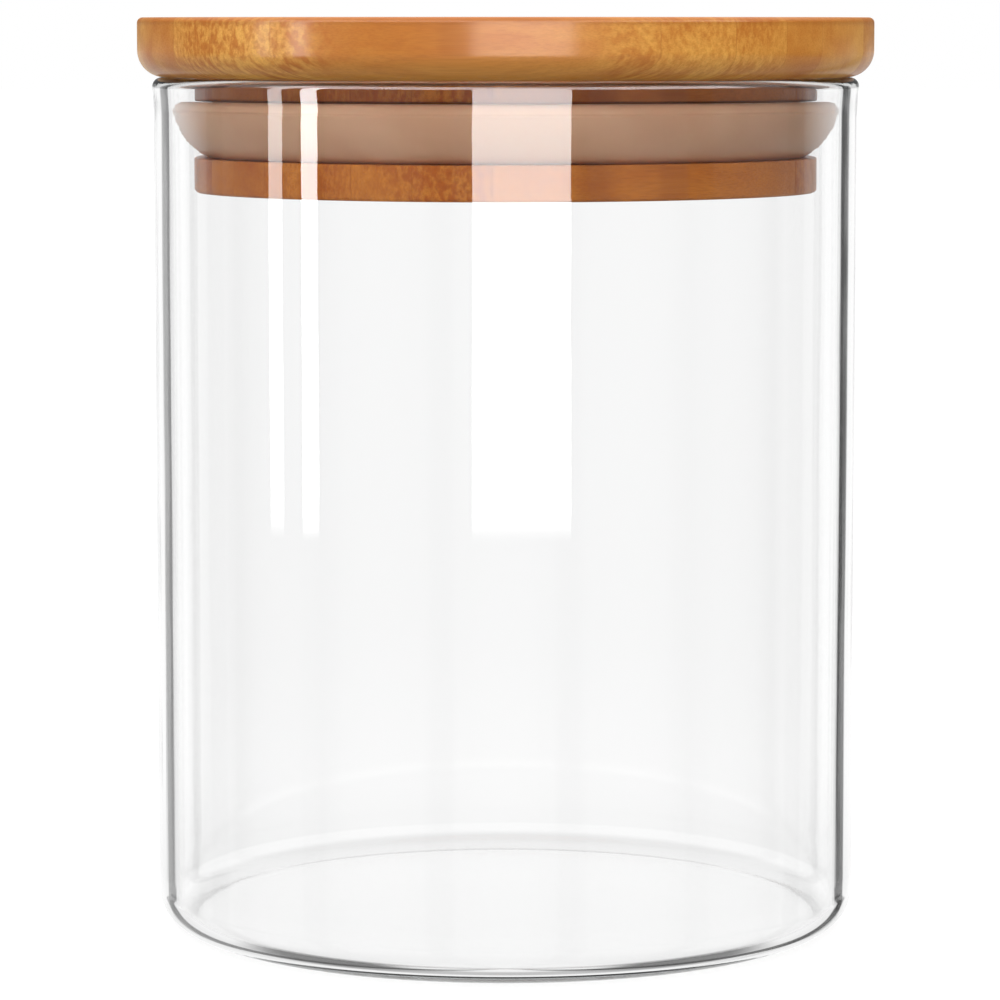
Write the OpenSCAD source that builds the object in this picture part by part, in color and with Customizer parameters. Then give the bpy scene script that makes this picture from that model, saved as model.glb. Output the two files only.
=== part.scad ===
// Food canister: a straight glass jar closed by a bamboo plug lid with a silicone seal.
// The lid is a disc and a plug, each glued up edge to edge from bamboo strips.
// Millimetres, +Z up. The origin is the middle of the jar's foot.

/* [Glass jar] */
// Outside diameter of the wall
jar_d = 100; // [80:1:140]
// Height from the foot to the top of the rim
jar_h = 121.4; // [80:1:240]
// Thickness of the wall
wall_t = 2.5; // [1.4:0.1:2.8]
// Thickness of the bottom
floor_t = 1.9; // [1.8:0.1:4]
// Outside radius of the heel, where the wall turns into the bottom
heel_r = 5; // [2.5:0.5:6]
// Inside radius of the corner between the wall and the bottom
corner_r = 3; // [1.5:0.5:5]
// How far the fire-polished rim leans out past the wall
rim_flare = 0.2; // [0.1:0.1:0.8]
// Height of the stretch of wall that leans out to the rim
flare_h = 4; // [2:0.5:8]

/* [Lid disc] */
// How far the disc stands out past the glass wall
overhang = 2.3; // [1:0.1:6]
// Thickness of the disc
disc_t = 8.4; // [7.5:0.1:14]
// Radius of the disc's top edge
top_edge_r = 0.8; // [0.3:0.1:2]
// Radius of the disc's full lower edge
low_edge_r = 3.8; // [1:0.1:5]
// Gap between the rim and the disc when the lid is shut
seat_gap = 0.05; // [0:0.05:0.2]

/* [Plug] */
// Gap between the plug and the glass wall
plug_gap = 3.2; // [3:0.1:6]
// Height of the plain neck between the disc and the seal's groove
neck_h = 2.8; // [2:0.1:8]
// Height of the groove
groove_h = 8.4; // [6:0.1:12]
// Depth of the groove
groove_depth = 2.4; // [2:0.1:4]
// Height of the flange below the groove
flange_h = 4.9; // [3:0.1:8]
// Radius of the flange's lower edge
flange_edge_r = 0.5; // [0.2:0.1:1]

/* [Bamboo strips] */
// Number of strips in the disc
disc_strips = 15; // [5:1:25]
// Number of strips in the plug
plug_strips = 13; // [5:1:25]
// Direction of the disc's strips, turned from +X about the lid's axis
disc_grain = -7; // [-90:1:90]
// Direction of the plug's strips, turned from +X about the lid's axis
plug_grain = 30; // [-90:1:90]

/* [Silicone seal] */
// Clearance between the seal's lip and the glass wall
lip_gap = 0.2; // [0.1:0.1:0.8]
// Clearance between the seal and the groove, below and behind it
seal_play = 0.1; // [0.05:0.05:0.2]
// Thickness of the band that hugs the plug
band_t = 1.3; // [0.8:0.1:2]
// Thickness of the lip that presses on the glass
lip_t = 1.2; // [0.8:0.1:1.6]
// Radius of the lip's outer curve
lip_curve_r = 9.2; // [8.5:0.1:14]
// Radius of the bead along the lip's free edge
bead_r = 1.5; // [1:0.1:1.8]

/* [Hidden] */
$fn = 160;
GLASS = [0.86, 0.93, 0.93, 0.35];
SILICONE = [0.80, 0.70, 0.64];
DISC_BAMBOO = [0.80, 0.53, 0.27];
PLUG_BAMBOO = [0.74, 0.44, 0.20];

// Jar
jar_r = jar_d / 2;
bore_r = jar_r - wall_t;
flare_z = jar_h - flare_h;
rim_r = (wall_t + rim_flare / 2) / 2;
rim_z = jar_h - rim_r;

// Lid, from the disc down
disc_r = jar_r + overhang;
disc_z = jar_h + seat_gap;
plug_r = bore_r - plug_gap;
groove_r = plug_r - groove_depth;
groove_z = disc_z - neck_h - groove_h;
plug_z = groove_z - flange_h;

// Seal
seal_r = groove_r + seal_play;
seal_z = groove_z + seal_play;
seal_h = groove_h - 3 * seal_play;
lip_r = bore_r - lip_gap;
bead_z = seal_z + seal_h - bead_r;
curve_x = lip_r - sqrt(pow(lip_curve_r, 2) - pow(bead_r, 2));

// Node names
function numbered(name, i) = str(name, i < 10 ? "_0" : "_", i);

// A square that starts at radius r and height z
module block(r, z, width, height) {
    translate([r, z]) square([width, height]);
}

// A circle centred at radius r and height z
module round_at(r, z, radius) {
    translate([r, z]) circle(radius);
}

// ---- Glass jar ----

module jar_outside() {
    block(0, heel_r, jar_r, flare_z - heel_r);
    block(0, 0, jar_r - heel_r, heel_r);
    round_at(jar_r - heel_r, heel_r, heel_r);
}

module jar_inside() {
    block(0, floor_t + corner_r, bore_r, jar_h);
    block(0, floor_t, bore_r - corner_r, corner_r);
    round_at(bore_r - corner_r, floor_t + corner_r, corner_r);
}

// The last of the wall leans out and ends in a full round
module rim_section() {
    polygon([
        [bore_r, flare_z],
        [jar_r, flare_z],
        [jar_r + rim_flare, rim_z],
        [jar_r + rim_flare - 2 * rim_r, rim_z]
    ]);
    round_at(jar_r + rim_flare - rim_r, rim_z, rim_r);
}

module glass_jar() {
    color(GLASS)
        rotate_extrude() {
            difference() {
                jar_outside();
                jar_inside();
            }
            rim_section();
        }
}

// ---- Silicone seal ----

// The lip springs from the foot of the band and sweeps out and up to the glass
module lip_section() {
    intersection() {
        difference() {
            round_at(curve_x, seal_z + seal_h, lip_curve_r);
            round_at(curve_x, seal_z + seal_h, lip_curve_r - lip_t);
        }
        block(seal_r, seal_z, lip_r, bead_z - seal_z);
    }
}

module seal_ring() {
    color(SILICONE)
        rotate_extrude() {
            block(seal_r, seal_z, band_t, seal_h);
            lip_section();
            round_at(lip_r - bead_r, bead_z, bead_r);
        }
}

// ---- Bamboo lid ----

// The disc as it is turned, before it is told apart into strips
module disc_blank() {
    rotate_extrude() {
        block(0, disc_z, disc_r - low_edge_r, disc_t);
        block(0, disc_z + low_edge_r, disc_r, disc_t - low_edge_r - top_edge_r);
        block(0, disc_z + low_edge_r, disc_r - top_edge_r, disc_t - low_edge_r);
        round_at(disc_r - low_edge_r, disc_z + low_edge_r, low_edge_r);
        round_at(disc_r - top_edge_r, disc_z + disc_t - top_edge_r, top_edge_r);
    }
}

// The plug as it is turned: flange, groove and neck
module plug_blank() {
    rotate_extrude() {
        block(0, plug_z, plug_r - flange_edge_r, flange_h);
        block(0, plug_z + flange_edge_r, plug_r, flange_h - flange_edge_r);
        round_at(plug_r - flange_edge_r, plug_z + flange_edge_r, flange_edge_r);
        block(0, groove_z, groove_r, groove_h);
        block(0, groove_z + groove_h, plug_r, neck_h);
    }
}

// Where the glue line after strip i lies. The first and last are clear of the blank
function glue_line(i, strips, blank_r) =
    i == 0 ? -blank_r - 1 :
    i == strips ? blank_r + 1 :
    blank_r * (2 * i / strips - 1);

// The slice of a blank that strip i fills
module strip_slice(i, strips, blank_r, grain) {
    start = glue_line(i - 1, strips, blank_r);
    end = glue_line(i, strips, blank_r);
    rotate(grain)
        translate([-2 * blank_r, start, 0])
            cube([4 * blank_r, end - start, 2 * jar_h]);
}

module disc_strip(i) {
    color(DISC_BAMBOO)
        intersection() {
            disc_blank();
            strip_slice(i, disc_strips, disc_r, disc_grain);
        }
}

module plug_strip(i) {
    color(PLUG_BAMBOO)
        intersection() {
            plug_blank();
            strip_slice(i, plug_strips, plug_r, plug_grain);
        }
}

glass_jar();
seal_ring();
for (i = [1:disc_strips])
    disc_strip(i);
for (i = [1:plug_strips])
    plug_strip(i);
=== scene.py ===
"""Looks of the food canister: a clear glass jar, a translucent silicone seal and a lid of bamboo strips."""

import math

import bmesh
import bpy
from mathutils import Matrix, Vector


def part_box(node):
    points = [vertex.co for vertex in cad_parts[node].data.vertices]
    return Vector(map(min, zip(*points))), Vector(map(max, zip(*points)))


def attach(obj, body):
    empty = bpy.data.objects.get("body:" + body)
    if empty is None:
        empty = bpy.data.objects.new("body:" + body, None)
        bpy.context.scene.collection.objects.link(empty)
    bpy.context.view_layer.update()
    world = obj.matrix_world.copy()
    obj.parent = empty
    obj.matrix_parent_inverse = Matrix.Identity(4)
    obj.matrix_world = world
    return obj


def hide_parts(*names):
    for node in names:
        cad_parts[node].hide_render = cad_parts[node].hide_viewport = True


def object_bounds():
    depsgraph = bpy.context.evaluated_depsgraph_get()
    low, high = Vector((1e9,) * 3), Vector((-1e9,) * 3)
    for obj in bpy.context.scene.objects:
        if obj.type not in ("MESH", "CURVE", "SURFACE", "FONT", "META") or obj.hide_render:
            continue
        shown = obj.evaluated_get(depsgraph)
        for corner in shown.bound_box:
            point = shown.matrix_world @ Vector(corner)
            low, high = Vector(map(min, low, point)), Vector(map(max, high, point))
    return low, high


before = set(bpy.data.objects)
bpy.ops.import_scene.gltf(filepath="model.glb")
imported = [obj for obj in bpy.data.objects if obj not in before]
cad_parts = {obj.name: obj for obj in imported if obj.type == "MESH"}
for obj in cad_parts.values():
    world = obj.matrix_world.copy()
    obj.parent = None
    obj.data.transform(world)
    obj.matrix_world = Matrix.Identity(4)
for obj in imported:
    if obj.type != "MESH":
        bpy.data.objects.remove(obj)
cad_low, cad_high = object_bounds()

MM = 0.001
DEG = math.pi / 180

# ---------------------------------------------------------------- sizes

# Jar, from its box, with the thicknesses that the CAD model has
jar_low, jar_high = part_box("glass_jar")
RIM_FLARE = 0.2 * MM
RIM_T = 2.6 * MM
WALL_T = 2.5 * MM
FLOOR_T = 1.9 * MM
HEEL_R = 5.0 * MM
CORNER_R = 3.0 * MM
FLARE_H = 4.0 * MM
JAR_R = jar_high.x - RIM_FLARE
JAR_H = jar_high.z
BORE_R = JAR_R - WALL_T

# Lid, from the boxes of its middle strips
DISC_STRIPS = 15
PLUG_STRIPS = 13
DISC_GRAIN = -7 * DEG
PLUG_GRAIN = 30 * DEG
disc_low, disc_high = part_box("disc_strip_08")
plug_low, plug_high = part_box("plug_strip_07")
DISC_R = cad_high.x
DISC_Z = disc_low.z
TOP_Z = disc_high.z
TOP_EDGE_R = 0.8 * MM
LOW_EDGE_R = 3.8 * MM
PLUG_R = BORE_R - 3.2 * MM
GROOVE_R = PLUG_R - 2.4 * MM
PLUG_Z = plug_low.z
FLANGE_H = 4.9 * MM
GROOVE_H = 8.4 * MM
FLANGE_EDGE_R = 0.5 * MM
GROOVE_Z = PLUG_Z + FLANGE_H

# Seal
seal_low, seal_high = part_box("seal_ring")
LIP_R = seal_high.x
SEAL_R = GROOVE_R + 0.1 * MM
BAND_T = 1.3 * MM
LIP_T = 1.2 * MM
LIP_CURVE_R = 9.2 * MM
BEAD_R = 1.5 * MM

SEGMENTS = 360


# ---------------------------------------------------------------- mesh helpers


def arc(centre_r, centre_z, radius, start, end, steps):
    """Points (r, z) along an arc in the section plane, angles in degrees from +r towards +z."""
    angles = [start + (end - start) * k / steps for k in range(steps + 1)]
    return [
        (centre_r + radius * math.cos(a * DEG), centre_z + radius * math.sin(a * DEG)) for a in angles
    ]


def new_object(name, bm, smooth=True):
    """Turns a bmesh into a shown object."""
    bmesh.ops.recalc_face_normals(bm, faces=bm.faces[:])
    for face in bm.faces:
        face.smooth = smooth
    mesh = bpy.data.meshes.new(name)
    bm.to_mesh(mesh)
    bm.free()
    obj = bpy.data.objects.new(name, mesh)
    bpy.context.scene.collection.objects.link(obj)
    return obj


def lathe(outline, closed, segments=SEGMENTS):
    """A bmesh turned about the axis from (r, z) points. An open outline starts and ends on the axis."""
    bm = bmesh.new()
    rings = []
    for r, z in outline:
        if r < 1e-7:
            rings.append([bm.verts.new((0, 0, z))])
            continue
        turn = [2 * math.pi * k / segments for k in range(segments)]
        rings.append([bm.verts.new((r * math.cos(t), r * math.sin(t), z)) for t in turn])
    pairs = list(zip(rings, rings[1:]))
    if closed:
        pairs.append((rings[-1], rings[0]))
    for low, high in pairs:
        for k in range(segments):
            n = (k + 1) % segments
            corners = [low[k % len(low)], low[n % len(low)], high[n % len(high)], high[k % len(high)]]
            bm.faces.new(list(dict.fromkeys(corners)))
    return bm


def sharpen(bm, angle=35):
    """Marks edges that turn by more than angle degrees, so that smooth shading stops at them."""
    for edge in bm.edges:
        if len(edge.link_faces) == 2 and edge.calc_face_angle(0) > angle * DEG:
            edge.smooth = False


def cut_strip(blank, name, grain, start, end):
    """The slice of a turned blank between two glue lines, closed by a flat face at each cut."""
    bm = blank.copy()
    across = Vector((-math.sin(grain), math.cos(grain), 0))
    for offset, side in ((start, -1), (end, 1)):
        everything = bm.verts[:] + bm.edges[:] + bm.faces[:]
        cut = bmesh.ops.bisect_plane(
            bm, geom=everything, dist=1e-9, plane_co=across * offset, plane_no=across * side, clear_outer=True
        )
        rim = [e for e in cut["geom_cut"] if isinstance(e, bmesh.types.BMEdge)]
        if rim:
            bmesh.ops.contextual_create(bm, geom=rim)
    bmesh.ops.recalc_face_normals(bm, faces=bm.faces[:])
    sharpen(bm)
    return new_object(name, bm)


def glue_line(i, strips, radius):
    """Offset of the glue line after strip i. The first and last lie clear of the blank."""
    if i == 0:
        return -radius - MM
    if i == strips:
        return radius + MM
    return radius * (2 * i / strips - 1)


# ---------------------------------------------------------------- shader helpers


class Shader:
    """Short calls that build one node tree. A value may be a number, a colour or another node's socket."""

    def __init__(self, owner):
        owner.use_nodes = True
        self.tree = owner.node_tree
        self.tree.nodes.clear()

    def put(self, socket, value):
        if isinstance(value, bpy.types.NodeSocket):
            self.tree.links.new(value, socket)
        elif value is not None:
            socket.default_value = value

    def node(self, kind, inputs=None, **settings):
        made = self.tree.nodes.new("ShaderNode" + kind)
        for name, value in settings.items():
            setattr(made, name, value)
        for name, value in (inputs or {}).items():
            self.put(made.inputs[name], value)
        return made

    def math(self, operation, a, b=None, c=None):
        made = self.node("Math", operation=operation)
        for socket, value in zip(made.inputs, (a, b, c)):
            self.put(socket, value)
        return made.outputs[0]

    def ramp(self, value, low, high, to_low=0.0, to_high=1.0):
        """A smooth step from to_low at low to to_high at high."""
        inputs = {"Value": value, "From Min": low, "From Max": high, "To Min": to_low, "To Max": to_high}
        return self.node("MapRange", inputs, interpolation_type="SMOOTHSTEP").outputs[0]

    def blend(self, factor, a, b):
        """A mix of two colours."""
        made = self.node("Mix", data_type="RGBA", blend_type="MIX")
        self.put(made.inputs[0], factor)
        self.put(made.inputs[6], a)
        self.put(made.inputs[7], b)
        return made.outputs[2]

    def noise(self, vector, scale, detail=2.0, roughness=0.5):
        inputs = {"Vector": vector, "Scale": scale, "Detail": detail, "Roughness": roughness}
        return self.node("TexNoise", inputs).outputs[0]

    def combine(self, x, y, z):
        return self.node("CombineXYZ", {"X": x, "Y": y, "Z": z}).outputs[0]

    def finish(self, surface, volume=None, kind="OutputMaterial"):
        out = self.node(kind)
        self.tree.links.new(surface, out.inputs["Surface"])
        if volume is not None:
            self.tree.links.new(volume, out.inputs["Volume"])


def rgb(red, green, blue):
    return (red, green, blue, 1.0)


# ---------------------------------------------------------------- materials


def glass_material():
    """Clear borosilicate with faint draw lines along the tube and a slow waviness."""
    material = bpy.data.materials.new("clear_glass")
    s = Shader(material)
    place = s.node("TexCoord").outputs["Object"]
    parts = s.node("SeparateXYZ", {"Vector": place}).outputs
    drawn = s.combine(parts[0], parts[1], s.math("MULTIPLY", parts[2], 0.02))
    lines = s.noise(drawn, 260.0, 3.0)
    wave = s.noise(place, 38.0, 1.0)
    wall = s.ramp(parts[2], 2 * FLOOR_T, 4 * FLOOR_T)
    height = s.math("MULTIPLY", s.math("ADD", s.math("MULTIPLY", lines, 0.25), wave), wall)
    bump = s.node("Bump", {"Strength": 0.012, "Distance": 0.004, "Height": height}).outputs[0]
    shader = s.node(
        "BsdfPrincipled",
        {
            "Base Color": rgb(1, 1, 1),
            "Roughness": 0.0,
            "IOR": 1.473,
            "Transmission Weight": 1.0,
            "Normal": bump,
        },
    )
    tint = s.node("VolumeAbsorption", {"Color": rgb(0.86, 0.95, 0.93), "Density": 3.0})
    s.finish(shader.outputs[0], tint.outputs[0])
    return material


def silicone_material():
    """Milky silicone that lets the bamboo's warmth through, with a satin skin."""
    material = bpy.data.materials.new("silicone")
    s = Shader(material)
    place = s.node("TexCoord").outputs["Object"]
    cloud = s.noise(place, 90.0, 3.0)
    speck = s.noise(place, 2200.0, 2.0)
    colour = s.blend(s.ramp(cloud, 0.35, 0.65), rgb(0.72, 0.41, 0.245), rgb(0.78, 0.47, 0.290))
    bump = s.node("Bump", {"Strength": 0.15, "Distance": 0.00005, "Height": speck}).outputs[0]
    shader = s.node(
        "BsdfPrincipled",
        {
            "Base Color": colour,
            "Roughness": s.ramp(cloud, 0.3, 0.7, 0.38, 0.5),
            "IOR": 1.41,
            "Transmission Weight": 0.12,
            "Subsurface Weight": 0.3,
            "Subsurface Radius": (1.0, 0.6, 0.45),
            "Subsurface Scale": 0.002,
            "Normal": bump,
        },
    )
    s.finish(shader.outputs[0])
    return material


def bamboo_material(name, grain, strips, radius, seed, coarse, flush, edge_z, pale, mid, dark):
    """Edge-glued bamboo as a solid texture: fibre bundles run along each strip, denser and darker towards the
    culm's outer side, and each strip has its own tone and, here and there, a node. The strips from the first
    to the last of coarse show flecks of fibre ends where they run out at the turned edge."""
    material = bpy.data.materials.new(name)
    s = Shader(material)
    place = s.node("TexCoord").outputs["Object"]
    turned = s.node("Mapping", {"Vector": place, "Rotation": (0, 0, -grain)}, vector_type="POINT").outputs[0]
    along, across, up = s.node("SeparateXYZ", {"Vector": turned}).outputs
    parts = s.node("SeparateXYZ", {"Vector": place}).outputs

    # Which strip, and where across it
    width = 2 * radius / strips
    position = s.math("DIVIDE", s.math("ADD", across, radius), width)
    index = s.math("FLOOR", position)
    inside = s.math("FRACT", position)
    seeds = [s.math("ADD", index, seed + 17.3 * k) for k in range(4)]
    rolls = [s.node("TexWhiteNoise", {"W": w}, noise_dimensions="1D").outputs[0] for w in seeds]
    flip = s.math("GREATER_THAN", rolls[0], 0.5)
    outer = s.math("ABSOLUTE", s.math("SUBTRACT", inside, flip))

    # A node of the culm crosses some strips: the fibres swell aside there and the colour deepens
    node_at = s.math("MULTIPLY", s.math("SUBTRACT", rolls[1], 0.5), 7.0 * radius)
    from_node = s.math("SUBTRACT", along, node_at)
    near_node = s.ramp(s.math("ABSOLUTE", from_node), 0.5 * MM, 4.5 * MM, 1.0, 0.0)
    swell = s.math("MULTIPLY", near_node, 0.9 * MM)

    # Bundles: cells about 0.85 mm across and several centimetres long
    shifted = s.math("ADD", along, s.math("MULTIPLY", rolls[2], 0.9))
    wander = s.math("MULTIPLY", s.math("SUBTRACT", s.noise(turned, 60.0, 1.0), 0.5), 1.2 * MM)
    bundle_at = s.combine(
        s.math("MULTIPLY", shifted, 0.02),
        s.math("ADD", s.math("ADD", across, swell), wander),
        s.math("SUBTRACT", up, wander),
    )
    cells = s.node("TexVoronoi", {"Vector": bundle_at, "Scale": 1150.0, "Randomness": 0.9})
    first, last = coarse
    lively = s.math(
        "MULTIPLY", s.math("GREATER_THAN", index, first - 1.5), s.math("LESS_THAN", index, last - 0.5)
    )
    reach = s.math("DIVIDE", s.math("ABSOLUTE", along), radius)
    lively = s.math("MULTIPLY", lively, s.ramp(reach, flush - 0.07, flush + 0.07))
    lively = s.math("MULTIPLY", lively, s.ramp(reach, 0.68, 0.82, 1.0, 0.5))
    lively = s.math("MULTIPLY", lively, s.ramp(along, -0.2 * radius, 0.2 * radius, 1.0, 0.55))
    lively = s.math("MAXIMUM", lively, s.math("MULTIPLY", rolls[2], 0.25))
    core = s.ramp(cells.outputs["Distance"], 0.12, 0.62, 1.0, 0.0)
    cell_roll = s.node("SeparateColor", {"Color": cells.outputs["Color"]}).outputs[0]
    bundle = s.math("MULTIPLY", core, s.ramp(cell_roll, 0.0, 1.0, 0.3, 1.0))

    # Fine fibre and slow changes of tone
    fibre_at = s.combine(s.math("MULTIPLY", shifted, 0.012), across, up)
    fibre = s.noise(fibre_at, 5200.0, 3.0, 0.6)
    slow_at = s.combine(s.math("MULTIPLY", shifted, 0.12), across, up)
    slow = s.noise(slow_at, 140.0, 3.0, 0.55)

    # Colour
    fleck_at = s.combine(s.math("MULTIPLY", shifted, 0.03), across, s.math("MULTIPLY", up, 0.42))
    flecks = s.ramp(s.noise(fleck_at, 1900.0, 2.0, 0.55), 0.30, 0.70, -0.5, 0.5)
    fleck = s.math("MULTIPLY", flecks, s.math("MULTIPLY", lively, 0.62))
    tone = s.math("MULTIPLY_ADD", slow, 1.2, s.math("MULTIPLY", rolls[3], 0.22))
    tone = s.math("ADD", s.math("ADD", tone, s.math("MULTIPLY", outer, 0.12)), fleck)
    ground = s.blend(s.ramp(tone, 0.30, 1.20), pale, mid)
    mark = s.math("MULTIPLY", bundle, s.ramp(lively, 0.0, 1.0, 0.08, 0.22))
    colour = s.blend(mark, ground, dark)
    colour = s.blend(s.ramp(fibre, 0.35, 0.75, 0.0, 0.28), colour, dark)
    colour = s.blend(s.math("MULTIPLY", near_node, 0.45), colour, dark)
    seam = s.ramp(s.math("MINIMUM", inside, s.math("SUBTRACT", 1.0, inside)), 0.003, 0.014, 0.22, 0.0)
    colour = s.blend(seam, colour, dark)

    # Painted shade: the round of the outer top edge is darkened towards the dark tone
    flat = s.node("VectorMath", {0: s.combine(parts[0], parts[1], 0.0)}, operation="LENGTH").outputs["Value"]
    painted_edge_shade = s.math(
        "MULTIPLY",
        s.ramp(up, edge_z - 1.5 * MM, edge_z - 0.2 * MM),
        s.ramp(flat, radius - 2.5 * MM, radius - 0.6 * MM),
    )
    colour = s.blend(s.math("MULTIPLY", painted_edge_shade, 0.62), colour, dark)

    # Painted shade: the flat top, which faces the ceiling light, is darkened and greyed
    facing = s.node("SeparateXYZ", {"Vector": s.node("NewGeometry").outputs["Normal"]}).outputs[2]
    painted_top_shade = s.math("MULTIPLY", s.ramp(facing, 0.93, 0.995), s.ramp(up, edge_z - 0.3 * MM, edge_z - 0.1 * MM))
    colour = s.blend(s.math("MULTIPLY", painted_top_shade, 0.45), colour, rgb(0.42, 0.235, 0.105))

    # Lacquered surface that follows the fibres a little
    height = s.math("ADD", s.math("MULTIPLY", bundle, -0.5), s.math("MULTIPLY", fibre, 0.5))
    bump = s.node("Bump", {"Strength": 0.25, "Distance": 0.00006, "Height": height}).outputs[0]
    shader = s.node(
        "BsdfPrincipled",
        {
            "Base Color": colour,
            "Roughness": s.ramp(fibre, 0.2, 0.8, 0.42, 0.60),
            "IOR": 1.45,
            "Specular IOR Level": 0.15,
            "Coat Weight": 0.30,
            "Coat Roughness": 0.15,
            "Coat IOR": 1.45,
            "Normal": bump,
        },
    )
    s.finish(shader.outputs[0])
    return material


# ---------------------------------------------------------------- pieces


def make_jar():
    """Glass jar: flat bottom, round heel, straight wall, and a rim that leans out to a full round."""
    rim_r = RIM_T / 2
    rim_c = JAR_R + RIM_FLARE - rim_r
    rim_z = JAR_H - rim_r
    steps = 14

    def leaning(radius, lean, k):
        share = k / steps
        return (radius + lean * share * share * (3 - 2 * share), rim_z - FLARE_H * (1 - share))

    outline = [(0, 0), (JAR_R * 0.5, 0)]
    outline += arc(JAR_R - HEEL_R, HEEL_R, HEEL_R, -90, 0, 18)
    outline += [leaning(JAR_R, RIM_FLARE, k) for k in range(steps)]
    outline += arc(rim_c, rim_z, rim_r, 0, 180, 24)
    outline += [leaning(BORE_R, rim_c - rim_r - BORE_R, k) for k in range(steps - 1, -1, -1)]
    outline += arc(BORE_R - CORNER_R, FLOOR_T + CORNER_R, CORNER_R, 0, -90, 18)
    outline += [(BORE_R * 0.5, FLOOR_T), (0, FLOOR_T)]
    jar = new_object("GlassJar", lathe(outline, closed=False))
    jar.data.materials.append(glass_material())
    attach(jar, "jar")
    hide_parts("glass_jar")


def make_seal():
    """Silicone seal: a band that hugs the plug, and a lip that sweeps out and up to a bead at the glass."""
    top = seal_high.z
    bottom = seal_low.z
    bead_z = top - BEAD_R
    curve_c = LIP_R - math.sqrt(LIP_CURVE_R**2 - BEAD_R**2)
    lowest = math.degrees(math.asin((bottom - top) / LIP_CURVE_R))
    highest = -math.degrees(math.asin(BEAD_R / LIP_CURVE_R))
    inner_r = LIP_CURVE_R - LIP_T
    pocket = -math.degrees(math.acos((SEAL_R + BAND_T - curve_c) / inner_r))
    edge = 0.25 * MM
    outline = [(SEAL_R + edge, bottom)]
    outline += arc(curve_c, top, LIP_CURVE_R, lowest, highest, 24)
    outline += arc(LIP_R - BEAD_R, bead_z, BEAD_R, 0, 200, 20)
    outline += arc(curve_c, top, inner_r, highest - 4, pocket, 16)
    band_r = SEAL_R + BAND_T
    outline += arc(band_r - edge, top - edge, edge, 0, 90, 4)
    outline += arc(SEAL_R + edge, top - edge, edge, 90, 180, 4)
    outline += [(SEAL_R, bottom + edge)]
    seal = new_object("SealRing", lathe(outline, closed=True))
    seal.data.materials.append(silicone_material())
    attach(seal, "seal")
    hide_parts("seal_ring")


def disc_blank():
    """The lid disc as turned: small round above, full round below."""
    outline = [(0, DISC_Z), (DISC_R * 0.5, DISC_Z)]
    outline += arc(DISC_R - LOW_EDGE_R, DISC_Z + LOW_EDGE_R, LOW_EDGE_R, -90, 0, 16)
    outline += arc(DISC_R - TOP_EDGE_R, TOP_Z - TOP_EDGE_R, TOP_EDGE_R, 0, 90, 8)
    outline += [(DISC_R * 0.5, TOP_Z), (0, TOP_Z)]
    return lathe(outline, closed=False)


def plug_blank():
    """The plug as turned: flange with a broken edge, groove and neck."""
    corner = 0.2 * MM
    groove_top = GROOVE_Z + GROOVE_H
    outline = [(0, PLUG_Z)]
    outline += arc(PLUG_R - FLANGE_EDGE_R, PLUG_Z + FLANGE_EDGE_R, FLANGE_EDGE_R, -90, 0, 6)
    outline += arc(PLUG_R - corner, GROOVE_Z - corner, corner, 0, 90, 3)
    outline += [(GROOVE_R, GROOVE_Z), (GROOVE_R, groove_top)]
    outline += arc(PLUG_R - corner, groove_top + corner, corner, -90, 0, 3)
    outline += [(PLUG_R, DISC_Z), (0, DISC_Z)]
    return lathe(outline, closed=False)


def make_strips(blank, kind, strips, radius, grain, material):
    """Cuts a blank into its strips. Each stands for the CAD node of the same strip."""
    for i in range(1, strips + 1):
        start = glue_line(i - 1, strips, radius)
        end = glue_line(i, strips, radius)
        strip = cut_strip(blank, f"{kind.capitalize()}Strip{i:02d}", grain, start, end)
        strip.data.materials.append(material)
        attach(strip, "lid")
        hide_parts(f"{kind}_strip_{i:02d}")
    blank.free()


make_jar()
make_seal()
make_strips(
    disc_blank(), "disc", DISC_STRIPS, DISC_R, DISC_GRAIN,
    bamboo_material(
        "disc_bamboo", DISC_GRAIN, DISC_STRIPS, DISC_R, 3.0, (1, 3), 0.36, TOP_Z,
        rgb(0.74, 0.37, 0.070), rgb(0.47, 0.150, 0.017), rgb(0.27, 0.070, 0.007),
    ),
)
make_strips(
    plug_blank(), "plug", PLUG_STRIPS, PLUG_R, PLUG_GRAIN,
    bamboo_material(
        "plug_bamboo", PLUG_GRAIN, PLUG_STRIPS, PLUG_R, 8.0, (2, 5), 0.0, TOP_Z,
        rgb(0.68, 0.24, 0.030), rgb(0.47, 0.115, 0.010), rgb(0.24, 0.048, 0.004),
    ),
)


# ---------------------------------------------------------------- studio

# Dark flags stand round the set: azimuth in degrees from +Y towards +X, and how dark each one is. Two are
# behind the set, and six weaker ones at equal steps round the rest of the room
SIDE_FLAG = 0.6
FLAGS = [(28, 1.0)] + [(67.5 + 45 * k, SIDE_FLAG) for k in range(6)] + [(332, 0.88)]

# What the outside of the glass mirrors of the two flags behind
MIRROR_FLAGS = [(34, 0.72), (326, 0.30)]

# Half a flag's width, its soft edge and how far its faint skirt reaches, in degrees, and the skirt's depth
FLAG_HALF = 5.0
FLAG_SOFT = 1.2
SKIRT_END = 21
SKIRT = 0.12

# What the table leaves of the light that shows through the floor of the jar
TABLE_SHADE = 0.86

# A strip light in front of the set and above it, as the gloss shows it
STRIP_GLOW = 8.0


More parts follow.
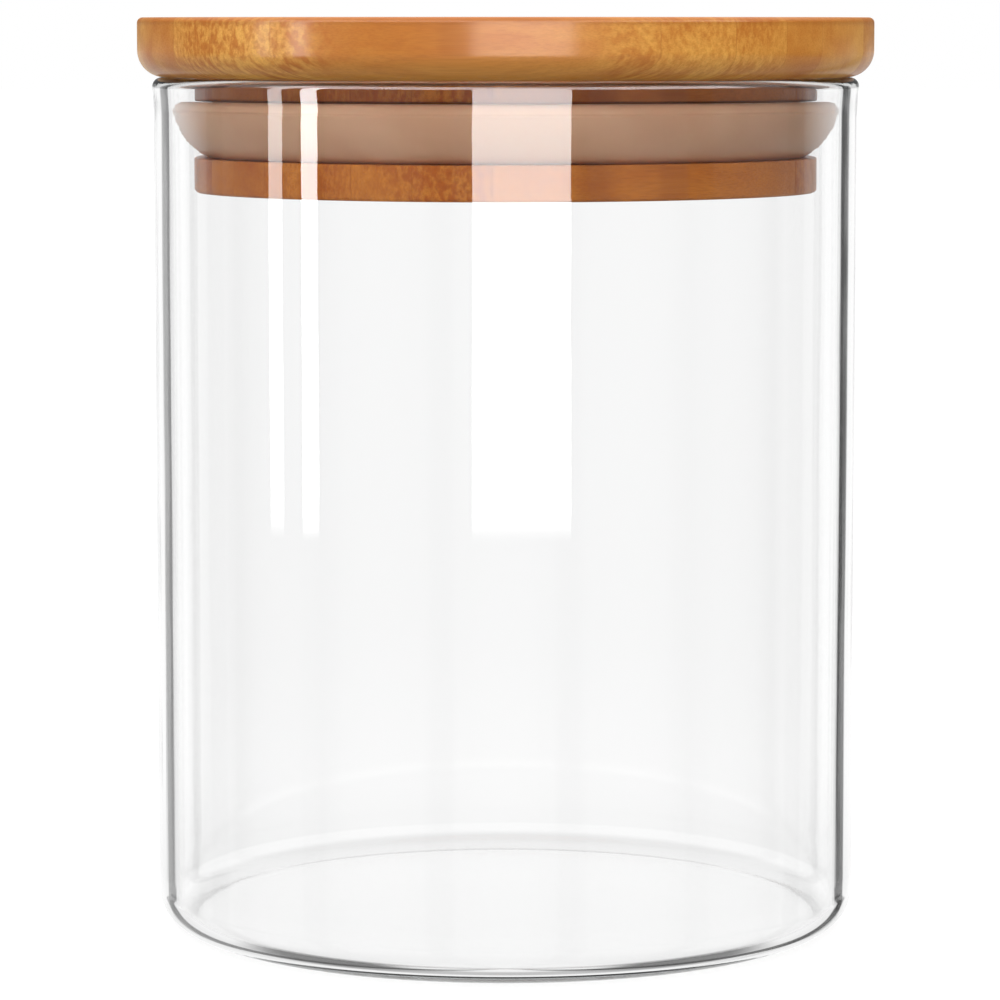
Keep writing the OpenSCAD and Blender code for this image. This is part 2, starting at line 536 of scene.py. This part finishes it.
def make_world():
    """White to the camera. The lid is lit from above by a soft ceiling. The glass looks out on white, and
    light that was reflected inside it also meets dark flags, which draw its edges."""
    world = bpy.data.worlds.new("studio")
    bpy.context.scene.world = world
    s = Shader(world)
    x, y, z = s.node("SeparateXYZ", {"Vector": s.node("TexCoord").outputs["Generated"]}).outputs
    azimuth = s.math("ARCTAN2", x, y)

    def flag_shade(flags, skirt_depth):
        """How dark a row of flags is, from 0 to 1."""
        dark = 0.0
        for flag, depth in flags:
            turned = s.math("SUBTRACT", azimuth, flag * DEG)
            offset = s.math("ABSOLUTE", s.math("WRAP", turned, math.pi, -math.pi))
            inner = (FLAG_HALF - FLAG_SOFT) * DEG
            outer = (FLAG_HALF + FLAG_SOFT) * DEG
            edge = s.ramp(offset, inner, outer, depth, 0.0)
            skirt = s.ramp(offset, FLAG_HALF * DEG, SKIRT_END * DEG, skirt_depth, 0.0)
            dark = s.math("MAXIMUM", s.math("MAXIMUM", edge, skirt), dark)
        return dark

    dark = flag_shade(FLAGS, SKIRT)
    light = s.node("LightPath").outputs

    # Upright flags, for light that was reflected inside the glass: low down, once or twice at most
    few = s.math("MAXIMUM", s.math("LESS_THAN", light["Glossy Depth"], 2.5), s.ramp(z, -0.24, -0.14))
    bounced = s.math("GREATER_THAN", light["Glossy Depth"], 0.5)
    upright = s.math("MULTIPLY", s.math("MULTIPLY", dark, few), s.ramp(z, 0.45, 0.65, 1.0, 0.0))
    upright = s.math("MULTIPLY", upright, bounced)
    shade = s.math("MULTIPLY_ADD", upright, -1.0, 1.0)

    # Steeply below, the table is dark, and more so to the sides
    steep = s.math("MULTIPLY", s.ramp(z, -0.75, -0.55, 1.0, 0.0), s.ramp(z, -0.97, -0.90, 0.0, 1.0))
    under = s.math("MULTIPLY", steep, s.ramp(s.math("ABSOLUTE", x), 0.08, 0.30, 0.42, 0.82))
    shade = s.math("MULTIPLY", shade, s.math("SUBTRACT", 1.0, under))

    # Light that was reflected many times in the glass and leaves it low meets the dark gap under the foot
    often = s.math("GREATER_THAN", light["Glossy Depth"], 3.5)
    piped = s.math("MULTIPLY", often, s.ramp(z, -0.35, -0.15, 1.0, 0.0))
    shade = s.math("MULTIPLY", shade, s.math("MULTIPLY_ADD", piped, -0.72, 1.0))

    # The wall behind the set is white. Round the rest of the room it is dim, but for what shows straight
    # through the glass
    back = s.ramp(s.math("ABSOLUTE", azimuth), 50 * DEG, 75 * DEG, 1.0, 0.0)
    ground = s.ramp(z, -0.26, -0.14, 1.0, 0.0)
    back = s.math("MAXIMUM", back, ground)
    dim = s.math("MULTIPLY", bounced, s.math("SUBTRACT", 1.0, back))
    shade = s.math("MULTIPLY", shade, s.ramp(z, -0.205, -0.165, TABLE_SHADE, 1.0))
    behind = s.math("MULTIPLY", shade, s.math("MULTIPLY_ADD", dim, -0.60, 1.03))

    # What gloss shows: the low wall behind, the ceiling and the strip light
    low_wall = s.math("MULTIPLY", back, s.ramp(z, -0.020, 0.0, 1.0, 0.15))
    low_wall = s.math("MULTIPLY", low_wall, s.math("SUBTRACT", 1.0, flag_shade(MIRROR_FLAGS, 0.0)))
    mirrored = s.math("MAXIMUM", s.ramp(z, 0.3, 0.85, 0.12, 2.6), low_wall)
    strip = s.math("MULTIPLY", s.ramp(z, 0.30, 0.38, 0.0, STRIP_GLOW), s.ramp(z, 0.70, 0.78, 1.0, 0.0))
    strip = s.math("MULTIPLY", strip, s.ramp(y, -0.1, 0.1, 1.0, 0.0))
    mirrored = s.math("MAXIMUM", mirrored, strip)

    # The ceiling lights matt surfaces, most from the front and the middle
    ceiling = s.ramp(z, 0.15, 0.85, 0.66, 3.2)
    ceiling = s.math("MULTIPLY", ceiling, s.ramp(y, -0.35, 0.75, 1.17, 0.42))
    ceiling = s.math("MULTIPLY", ceiling, s.ramp(x, 0.15, 0.95, 1.0, 0.38))
    ceiling = s.math("MULTIPLY", ceiling, s.ramp(x, -0.95, -0.25, 0.62, 1.0))

    seen = s.node("Background", {"Color": rgb(1, 1, 1), "Strength": 1.0})
    through = s.node("Background", {"Color": rgb(1, 1, 1), "Strength": behind})
    shine = s.node("Background", {"Color": rgb(1, 1, 1), "Strength": mirrored})
    room = s.node("Background", {"Color": rgb(1, 1, 1), "Strength": ceiling})
    direct = s.math("LESS_THAN", light["Diffuse Depth"], 0.5)
    picks = [
        (s.math("MULTIPLY", light["Is Glossy Ray"], direct), shine),
        (s.math("MULTIPLY", light["Is Transmission Ray"], direct), through),
        (light["Is Camera Ray"], seen),
    ]
    total = room.outputs[0]
    for share, source in picks:
        mix = s.node("MixShader", {"Fac": share})
        s.put(mix.inputs[1], total)
        s.put(mix.inputs[2], source.outputs[0])
        total = mix.outputs[0]
    s.finish(total, kind="OutputWorld")


def make_floor():
    """Pale floor that keeps a faint contact shadow."""
    half = 8.0
    bm = bmesh.new()
    bmesh.ops.create_grid(bm, x_segments=1, y_segments=1, size=half)
    bmesh.ops.translate(bm, verts=bm.verts[:], vec=(0, 0, -0.2 * MM))
    floor = new_object("Floor", bm, smooth=False)
    material = bpy.data.materials.new("pale_floor")
    s = Shader(material)
    seen = s.node("LightPath").outputs["Is Camera Ray"]
    strength = s.math("MULTIPLY_ADD", seen, 0.60, 0.33)
    glow = s.node("Emission", {"Color": rgb(1, 1, 1), "Strength": strength})
    matt = s.node("BsdfDiffuse", {"Color": rgb(0.10, 0.10, 0.10)})
    both = s.node("AddShader")
    s.put(both.inputs[0], glow.outputs[0])
    s.put(both.inputs[1], matt.outputs[0])
    s.finish(both.outputs[0])
    floor.data.materials.append(material)
    floor.visible_transmission = False
    floor.visible_glossy = False


def make_panel(name, first, last, strength, distance=0.465, low=0.0, high=0.36, fade=0.014):
    """A bowed light panel, azimuths in degrees from -Y towards +X. It fades out towards its lower edge."""
    steps = 12
    bm = bmesh.new()
    columns = []
    for k in range(steps + 1):
        a = (first + (last - first) * k / steps) * DEG
        x, y = distance * math.sin(a), -distance * math.cos(a)
        columns.append([bm.verts.new((x, y, z)) for z in (low, low + fade, high)])
    for left, right in zip(columns, columns[1:]):
        for k in range(2):
            bm.faces.new((left[k], right[k], right[k + 1], left[k + 1]))
    panel = new_object(name, bm, smooth=False)
    material = bpy.data.materials.new(name)
    s = Shader(material)
    z = s.node("SeparateXYZ", {"Vector": s.node("TexCoord").outputs["Object"]}).outputs[2]
    glow = s.node("Emission", {"Color": rgb(1, 1, 1), "Strength": s.ramp(z, low, low + fade, 0.0, strength)})
    s.finish(glow.outputs[0])
    panel.data.materials.append(material)
    panel.visible_camera = False
    panel.visible_diffuse = False
    panel.visible_transmission = False
    panel.visible_shadow = False


make_world()
make_floor()
make_panel("PanelFront", -9.9, 19.6, 13.0)
make_panel("PanelLeftNear", -65.2, -59.4, 19.0)
make_panel("PanelLeftFar", -77.9, -72.4, 9.5)


# ---------------------------------------------------------------- camera

EYE = Vector((-0.0008, -0.632, 0.1290))
AIM = Vector((-0.0008, 0.0, 0.0608))
camera = bpy.data.objects.new("Camera", bpy.data.cameras.new("Camera"))
camera.data.sensor_width = 36.0
camera.data.lens = 159.0
camera.location = EYE
camera.rotation_euler = (AIM - EYE).to_track_quat("-Z", "Y").to_euler()
bpy.context.scene.collection.objects.link(camera)
bpy.context.scene.camera = camera

# Light is piped many times through the thick glass of the heel before it leaves
bpy.context.scene.cycles.max_bounces = 32
bpy.context.scene.cycles.glossy_bounces = 32
bpy.context.scene.cycles.transmission_bounces = 32

bpy.context.scene.view_settings.view_transform = "Standard"
bpy.context.scene.view_settings.look = "None"
